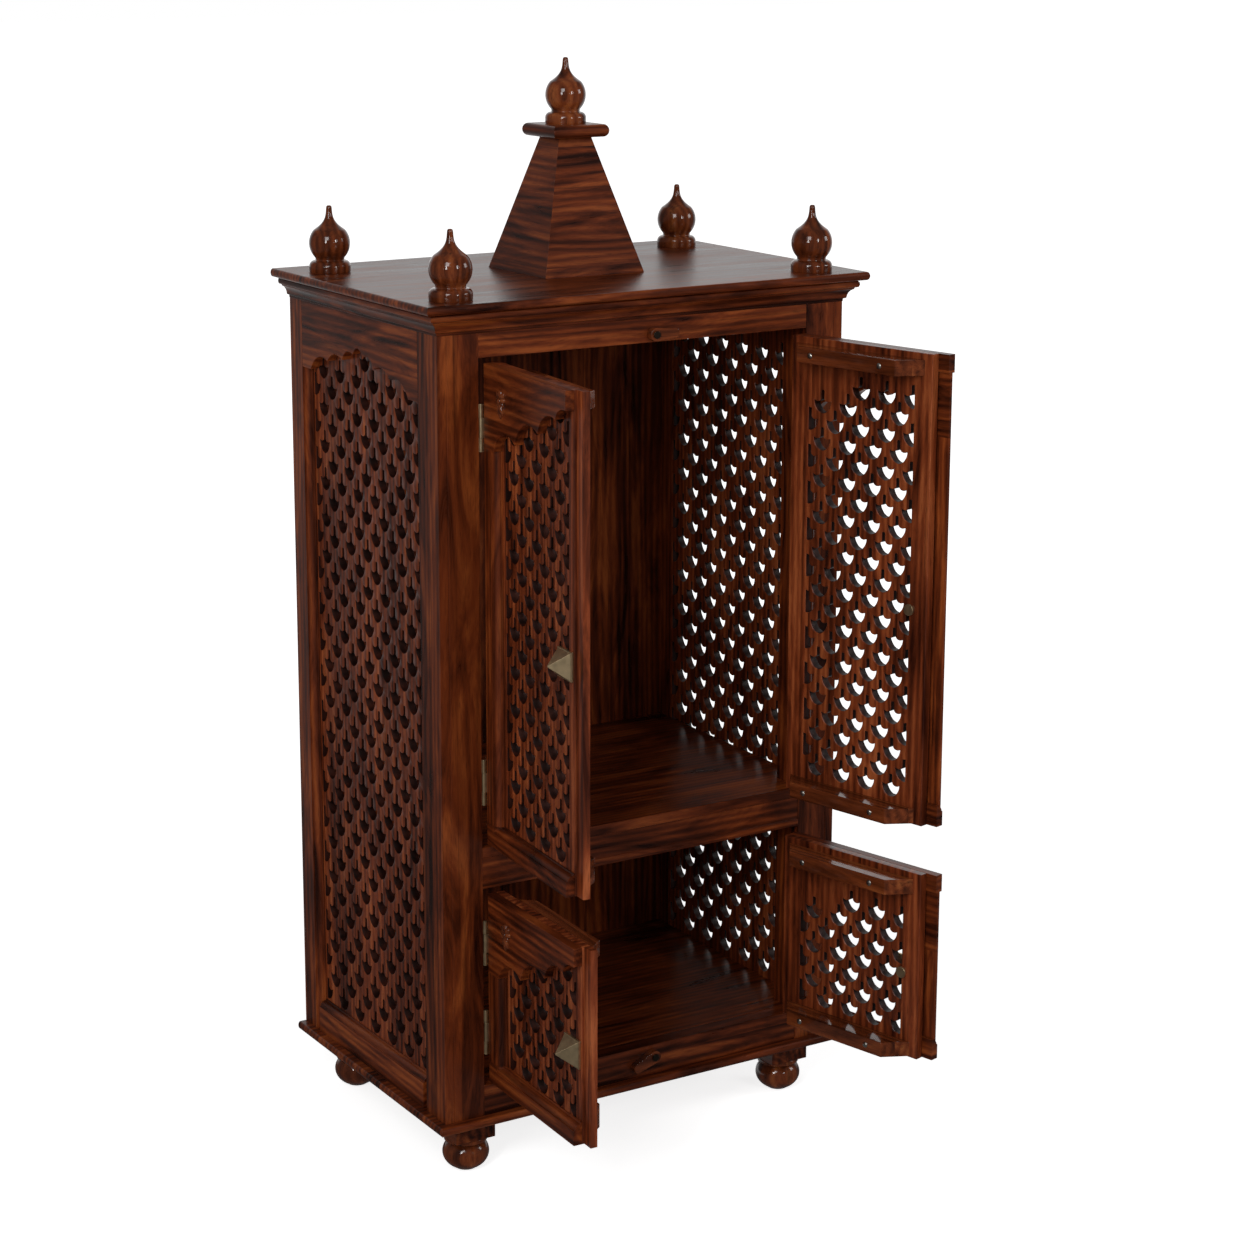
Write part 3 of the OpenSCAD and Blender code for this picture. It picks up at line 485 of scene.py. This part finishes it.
def lathe(bm, profile, place, steps=96):
    """Turns a profile of radius and height round an upright axis at place."""
    verts = [bm.verts.new(place + Vector((r, 0, z)) * MM) for r, z in profile]
    edges = [bm.edges.new(pair) for pair in zip(verts, verts[1:])]
    bmesh.ops.spin(bm, geom=verts + edges, cent=place, axis=(0, 0, 1), angle=2 * math.pi, steps=steps)


def arc(cx, cz, r, a0, a1, n=12):
    """Points on an arc, in degrees from level."""
    return [(cx + r * math.cos(math.radians(a0 + (a1 - a0) * i / n)),
             cz + r * math.sin(math.radians(a0 + (a1 - a0) * i / n))) for i in range(n + 1)]


def curve(points, n=5):
    """A smooth line through points."""
    line = []
    for i in range(len(points) - 1):
        a, b = Vector(points[max(0, i - 1)]), Vector(points[i])
        c, d = Vector(points[i + 1]), Vector(points[min(len(points) - 1, i + 2)])
        for j in range(n):
            t = j / n
            line.append(tuple(0.5 * (2 * b + (c - a) * t + (2 * a - 5 * b + 4 * c - d) * t * t
                                     + (3 * b - a - 3 * c + d) * t ** 3)))
    return line + [tuple(points[-1])]


def finial_profile(r, h):
    """A turned finial: a rounded drum, a waist, a bulb and a spire."""
    drum = [(r * (0.72 + 0.29 * math.cos(a)), h * (0.09 + 0.088 * math.sin(a)))
            for a in (math.radians(q) for q in range(0, 88, 8))]
    bulb = arc(0, h * 0.435, r, -44, 40, 18)
    spire = curve([bulb[-1], (r * 0.5, h * 0.695), (r * 0.33, h * 0.75), (r * 0.22, h * 0.81), (r * 0.165, h * 0.88),
                   (r * 0.14, h * 0.965)], 5)
    return ([(0, 0), (r * 0.99, 0), (r * 1.01, h * 0.015)] + drum
            + [(r * 0.722, h * 0.178), (r * 0.7, h * 0.186), (r * 0.7, h * 0.196)]
            + bulb + spire[1:] + [(r * 0.125, h * 0.985), (r * 0.08, h * 0.998), (0, h)])


def foot_profile(r, h):
    """A turned bun foot: a ball under a thin collar."""
    ball = [(r * math.cos(a), h * 0.49 + h * 0.52 * math.sin(a)) for a in (math.radians(q) for q in range(-60, 41, 5))]
    collar = [(r * 0.775, h * 0.838), (r * 0.8, h * 0.85), (r * 0.88, h * 0.858), (r * 0.92, h * 0.875),
              (r * 0.93, h * 0.9), (r * 0.93, h * 0.97), (r * 0.915, h * 0.99), (r * 0.9, h), (0, h)]
    return [(0, 0), (r * 0.42, 0), (r * 0.46, h * 0.012)] + ball + collar


class SHRINE_OT_joinery(bpy.types.Operator):
    """Build the posts, boards, rails, trims and battens"""

    bl_idname = "shrine.joinery"
    bl_label = "Joinery"

    def execute(self, context):
        wood = context.scene.shrine_wood
        plain = {
            "foot_blocks": "Foot blocks", "back_panel": "Back panel", "header_rail": "Header rail",
            "bottom_rail": "Bottom rail", "mid_rail": "Apron rail"}
        for node, name in plain.items():
            eased(node, name, "sheesham", wood.ease)
        for node, name in {"floor_board": "Floor board", "shelf_board": "Shelf board"}.items():
            made = eased(node, name, "sheesham_red", wood.ease, 0)
            # The floor and shelf take the darker lacquer instead of their slot's redder board, as painted shade inside
            # the cabinet.
            made.data.materials[0] = finishes()["sheesham"]
        for node, name in {"base_board": "Base board", "top_board": "Top board"}.items():
            eased(node, name, "sheesham", wood.fine_ease, 0)
        for node, name in {"cornice_moulding": "Top moulding", "tower": "Tower", "tower_cap": "Tower cap"}.items():
            eased(node, name, "sheesham", wood.fine_ease, "around")
        for node in ("post_front_left", "post_front_right", "stile_back_left", "stile_back_right",
                     "side_left_rails", "side_right_rails"):
            eased(node, node.replace("_", " ").capitalize(), "sheesham", wood.fine_ease)
        for leaf in LEAVES:
            label = leaf.replace("_", " ").capitalize()
            eased(leaf + "_trim", label + " trim", "sheesham", wood.fine_ease)
            eased(leaf + "_battens", label + " battens", "sheesham_dark", wood.ease)
        return {"FINISHED"}


class SHRINE_OT_lattices(bpy.types.Operator):
    """Build the six pierced boards"""

    bl_idname = "shrine.lattices"
    bl_label = "Pierced boards"

    def execute(self, context):
        pattern = context.scene.shrine_pattern
        body = body_matrix()
        outline = [Vector(p) for p in ((PANEL_Y0, 0), (PANEL_Y1, 0), (PANEL_Y1, BODY_H), (PANEL_Y0, BODY_H))]
        for side, label in ((-1, "left"), (1, "right")):
            bm = bmesh.new()
            board(bm, outline, side_holes(pattern, label), lambda a, z, w: body @ Vector((side * (SIDE_X - w), a, z)),
                  TRIM_T, TRIM_T + SIDE_BOARD_T, pattern.rim)
            self.land(bm, f"side_{label}_lattice", f"Side {label} pierced board", body)
        for leaf in LEAVES:
            matrix = leaf_matrix(leaf)
            trim_lo, trim_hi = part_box(leaf + "_trim")
            z0, z1 = (trim_lo.z - BASE_Z) / MM, (trim_hi.z - BASE_Z) / MM
            bm = bmesh.new()
            left = "left" in leaf
            end = 191.7 if left else 197.0
            edge = [Vector(p) for p in ((0, z0), (end, z0), (end, z1), (0, z1))]
            board(bm, edge, door_holes(pattern, leaf, z0, z1), lambda a, z, w: matrix @ Vector((a, w, z)), TRIM_T, WALL_T,
                  pattern.rim)
            if left:
                block(bm, (end - 1, WALL_T - LIP_T, z0), (end + 13.7, WALL_T, z1), matrix)
            self.land(bm, leaf + "_lattice", leaf.replace("_", " ").capitalize() + " pierced board", matrix)
        return {"FINISHED"}

    def land(self, bm, node, name, matrix):
        """Finishes one pierced board, with its grain upright and the walls of its cut-outs darker with painted shade.
        """
        bmesh.ops.recalc_face_normals(bm, faces=bm.faces)
        lay_grain(bm, axes_of(matrix), node, 2)
        made = land(bm, name, finishes()["sheesham_red"])
        # The second material paints shade onto the walls of the cut-outs.
        made.data.materials.append(finishes()["cut"])
        settle(made, node)


class SHRINE_OT_turnings(bpy.types.Operator):
    """Build the turned feet and finials"""

    bl_idname = "shrine.turnings"
    bl_label = "Turned pieces"

    def execute(self, context):
        jobs = {
            "feet": ("Feet", foot_profile, 26.2, 39.0, FOOT_PLACES),
            "corner_finials": ("Corner finials", finial_profile, 22.9, 74.0, FINIAL_PLACES),
            "tower_finial": ("Tower finial", finial_profile, 22.6, 72.7, TOWER_PLACES)}
        for node, (name, shape, r, h, places) in jobs.items():
            foot_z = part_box(node)[0].z
            bm = bmesh.new()
            for x, y in places:
                lathe(bm, shape(r, h), Vector((x * MM, BODY_Y + y * MM, foot_z)))
            bmesh.ops.remove_doubles(bm, verts=bm.verts, dist=2e-6)
            bmesh.ops.recalc_face_normals(bm, faces=bm.faces)
            lay_grain(bm, axes_of(body_matrix()), node, 2)
            settle(land(bm, name, finishes()["sheesham_dark"], 50.0), node)
        return {"FINISHED"}


class SHRINE_OT_fittings(bpy.types.Operator):
    """Build the hinges, knobs, turn buttons and screws"""

    bl_idname = "shrine.fittings"
    bl_label = "Fittings"

    def execute(self, context):
        eased("turn_button_top", "Top turn button", "sheesham_dark", 0.8)
        eased("turn_button_bottom", "Bottom turn button", "sheesham_dark", 0.8)
        screws = eased("button_screws", "Turn button screws", "brass", 0.2)
        screws.data.materials[0] = finishes()["iron"]
        eased("hinge_posts", "Hinge halves on the posts", "brass", 0.15)
        for leaf in LEAVES:
            label = leaf.replace("_", " ").capitalize()
            eased(leaf + "_hinges", label + " hinge halves", "brass", 0.15)
            eased(leaf + "_knob", label + " knob", "brass", 0.3)
            self.batten_screws(leaf, label)
        return {"FINISHED"}

    def batten_screws(self, leaf, label):
        """Two domed screws in the inner face of each batten."""
        matrix = leaf_matrix(leaf)
        lo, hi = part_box(leaf + "_battens")
        z0, z1 = (lo.z - BASE_Z) / MM, (hi.z - BASE_Z) / MM
        low = 27.0 if "left" in leaf else 17.5
        bm = bmesh.new()
        for z in (z0 + low / 2, z1 - 17.5 / 2):
            for u in (47.0, 144.0):
                shape = Matrix.Translation((u, WALL_T + 25.0, z)) @ Matrix.Diagonal((3.4, 1.7, 3.4, 1))
                bmesh.ops.create_uvsphere(bm, u_segments=24, v_segments=12, radius=1, matrix=matrix @ shape)
        bmesh.ops.recalc_face_normals(bm, faces=bm.faces)
        made = land(bm, label + " batten screws", finishes()["steel"])
        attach(made, leaf + "_door")


class SHRINE_OT_flowers(bpy.types.Operator):
    """Build the small carved flower on each door"""

    bl_idname = "shrine.flowers"
    bl_label = "Carved flowers"

    def execute(self, context):
        petals = [(90, 12, 3.8), (50, 12, 3.8), (130, 12, 3.8), (12, 11, 3.4), (168, 11, 3.4), (325, 9, 3.0), (215, 9, 3.0),
                  (270, 19, 2.4), (250, 15, 2.4), (290, 15, 2.4)]
        for leaf in LEAVES:
            matrix = leaf_matrix(leaf)
            top = (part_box(leaf + "_trim")[1].z - BASE_Z) / MM
            bm = bmesh.new()
            for turn, length, half in petals:
                shape = (Matrix.Translation((42, 0, top - 33.5)) @ Matrix.Rotation(-math.radians(turn), 4, "Y")
                         @ Matrix.Translation((length / 2, 0, 0)) @ Matrix.Diagonal((length / 2, 3.2, half, 1)))
                bmesh.ops.create_uvsphere(bm, u_segments=20, v_segments=10, radius=1, matrix=matrix @ shape)
            heart = Matrix.Translation((42, 0, top - 33.5)) @ Matrix.Diagonal((3.6, 4.4, 3.6, 1))
            bmesh.ops.create_uvsphere(bm, u_segments=24, v_segments=12, radius=1, matrix=matrix @ heart)
            bmesh.ops.recalc_face_normals(bm, faces=bm.faces)
            lay_grain(bm, axes_of(matrix), leaf + "_flower", 0)
            made = land(bm, leaf.replace("_", " ").capitalize() + " carved flower", finishes()["sheesham_dark"])
            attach(made, leaf + "_door")
        return {"FINISHED"}


class SHRINE_OT_stage(bpy.types.Operator):
    """Set up the floor, the lights, the white background and the camera"""

    bl_idname = "shrine.stage"
    bl_label = "Studio stage"

    def execute(self, context):
        scene = context.scene
        stage = scene.shrine_stage
        scene.view_settings.view_transform = "Standard"
        self.world(scene, stage)
        self.floor(stage)
        self.lamp(scene, "Key softbox", stage.key, (-2.6, -2.4, 3.0), (1.3, 1.3))
        self.lamp(scene, "Fill softbox", stage.fill, (3.3, -2.0, 2.0), (1.1, 1.1))
        self.lamp(scene, "Left strip light", stage.strip, (-2.6, -2.0, 1.7), (0.3, 0.9))
        self.lamp(scene, "Right strip light", stage.strip, (0.3, -3.4, 1.9), (0.3, 0.9))
        self.camera(scene)
        return {"FINISHED"}

    def strength(self, tree, way, room, seen):
        """Light of a surface: seen where it is seen directly or through glass, room where it lights the object, and
        in mirrors from seen on the photo's background down to a dark room behind the camera."""
        path = add(tree, "ShaderNodeLightPath").outputs
        direct = add(tree, "ShaderNodeMath", {0: path["Is Camera Ray"], 1: path["Is Transmission Ray"]},
                     operation="MAXIMUM").outputs[0]
        along = add(tree, "ShaderNodeVectorMath", {0: way, 1: (0.51, 0.86, 0)}, operation="DOT_PRODUCT").outputs["Value"]
        mirrored = add(tree, "ShaderNodeMapRange", {0: along, 1: 0.5, 2: 0.92, 3: 0.1 * seen - room, 4: seen - room})
        gloss = add(tree, "ShaderNodeMath", {0: path["Is Glossy Ray"], 1: mirrored.outputs[0], 2: room},
                    operation="MULTIPLY_ADD").outputs[0]
        return add(tree, "ShaderNodeMath", {0: direct, 1: seen - room, 2: gloss}, operation="MULTIPLY_ADD").outputs[0]

    def world(self, scene, stage):
        """White where it is seen, softer where it lights the object."""
        scene.world = bpy.data.worlds.new("Studio")
        scene.world.use_nodes = True
        tree = scene.world.node_tree
        tree.nodes.clear()
        way = add(tree, "ShaderNodeTexCoord").outputs["Generated"]
        strength = self.strength(tree, way, stage.room, 1.0)
        light = add(tree, "ShaderNodeBackground", {"Color": (1, 1, 1, 1), "Strength": strength})
        add(tree, "ShaderNodeOutputWorld", {0: light.outputs[0]})

    def floor(self, stage):
        """White painted floor that keeps the object's shadow."""
        made = fresh("Studio floor, white paint")
        tree = made.node_tree
        paint = add(tree, "ShaderNodeBsdfDiffuse", {"Color": (0.8, 0.8, 0.8, 1)})
        place = add(tree, "ShaderNodeTexCoord").outputs["Object"]
        way = add(tree, "ShaderNodeVectorMath", {0: place}, operation="NORMALIZE").outputs[0]
        glow = self.strength(tree, way, 0.0, stage.glow)
        far = add(tree, "ShaderNodeVectorMath", {0: place}, operation="LENGTH").outputs["Value"]
        more = add(tree, "ShaderNodeMapRange", {0: far, 1: 0.9, 2: 2.4, 3: 1.0, 4: 1.0 / stage.glow}).outputs[0]
        glow = add(tree, "ShaderNodeMath", {0: glow, 1: more}, operation="MULTIPLY").outputs[0]
        lit = add(tree, "ShaderNodeEmission", {"Color": (1, 1, 1, 1), "Strength": glow})
        both = add(tree, "ShaderNodeAddShader", {0: paint.outputs[0], 1: lit.outputs[0]})
        mirrored = add(tree, "ShaderNodeLightPath").outputs["Is Glossy Ray"]
        shown = add(tree, "ShaderNodeMixShader", {0: mirrored, 1: both.outputs[0], 2: lit.outputs[0]})
        add(tree, "ShaderNodeOutputMaterial", {0: shown.outputs[0]})
        bm = bmesh.new()
        bmesh.ops.create_grid(bm, x_segments=1, y_segments=1, size=30)
        land(bm, "Studio floor", made)

    def lamp(self, scene, name, power, place, size):
        """A lamp of this width and height that looks at the middle of the object."""
        data = bpy.data.lights.new(name, "AREA")
        data.shape = "RECTANGLE"
        data.size, data.size_y = size
        data.energy = power
        made = bpy.data.objects.new(name, data)
        made.location = place
        made.rotation_euler = (Vector((0, 0, 0.6)) - Vector(place)).to_track_quat("-Z", "Y").to_euler()
        scene.collection.objects.link(made)

    def camera(self, scene):
        """The photo's view: from the front left, a little from above."""
        data = bpy.data.cameras.new("Camera")
        data.lens = 81.27
        data.shift_x = 0.0302
        data.shift_y = -0.0811
        made = bpy.data.objects.new("Camera", data)
        made.location = (-1.61913, -2.72162 + BODY_Y, 1.30506 + BASE_Z)
        made.rotation_euler = (math.radians(77.61), 0, math.radians(-31.25))
        scene.collection.objects.link(made)
        scene.camera = made


class SHRINE_PT_panel(bpy.types.Panel):
    """The cabinet's tools in the sidebar"""

    bl_idname = "SHRINE_PT_panel"
    bl_label = "Shrine cabinet"
    bl_space_type = "VIEW_3D"
    bl_region_type = "UI"
    bl_category = "Shrine"

    def draw(self, context):
        for kind in OPERATORS:
            self.layout.operator(kind.bl_idname)


GROUPS = {"shrine_wood": ShrineWood, "shrine_pattern": ShrinePattern, "shrine_stage": ShrineStage}
OPERATORS = (SHRINE_OT_joinery, SHRINE_OT_lattices, SHRINE_OT_turnings, SHRINE_OT_fittings, SHRINE_OT_flowers,
             SHRINE_OT_stage)


def register():
    """Adds the settings, the operators and the panel."""
    for name, kind in GROUPS.items():
        bpy.utils.register_class(kind)
        setattr(bpy.types.Scene, name, PointerProperty(type=kind))
    for kind in (*OPERATORS, SHRINE_PT_panel):
        bpy.utils.register_class(kind)


def unregister():
    """Takes them away again."""
    for kind in (SHRINE_PT_panel, *reversed(OPERATORS)):
        bpy.utils.unregister_class(kind)
    for name, kind in GROUPS.items():
        delattr(bpy.types.Scene, name)
        bpy.utils.unregister_class(kind)


def main():
    """Builds everything."""
    register()
    bpy.ops.shrine.joinery()
    bpy.ops.shrine.lattices()
    bpy.ops.shrine.turnings()
    bpy.ops.shrine.fittings()
    bpy.ops.shrine.flowers()
    bpy.ops.shrine.stage()


if __name__ == "__main__":
    main()
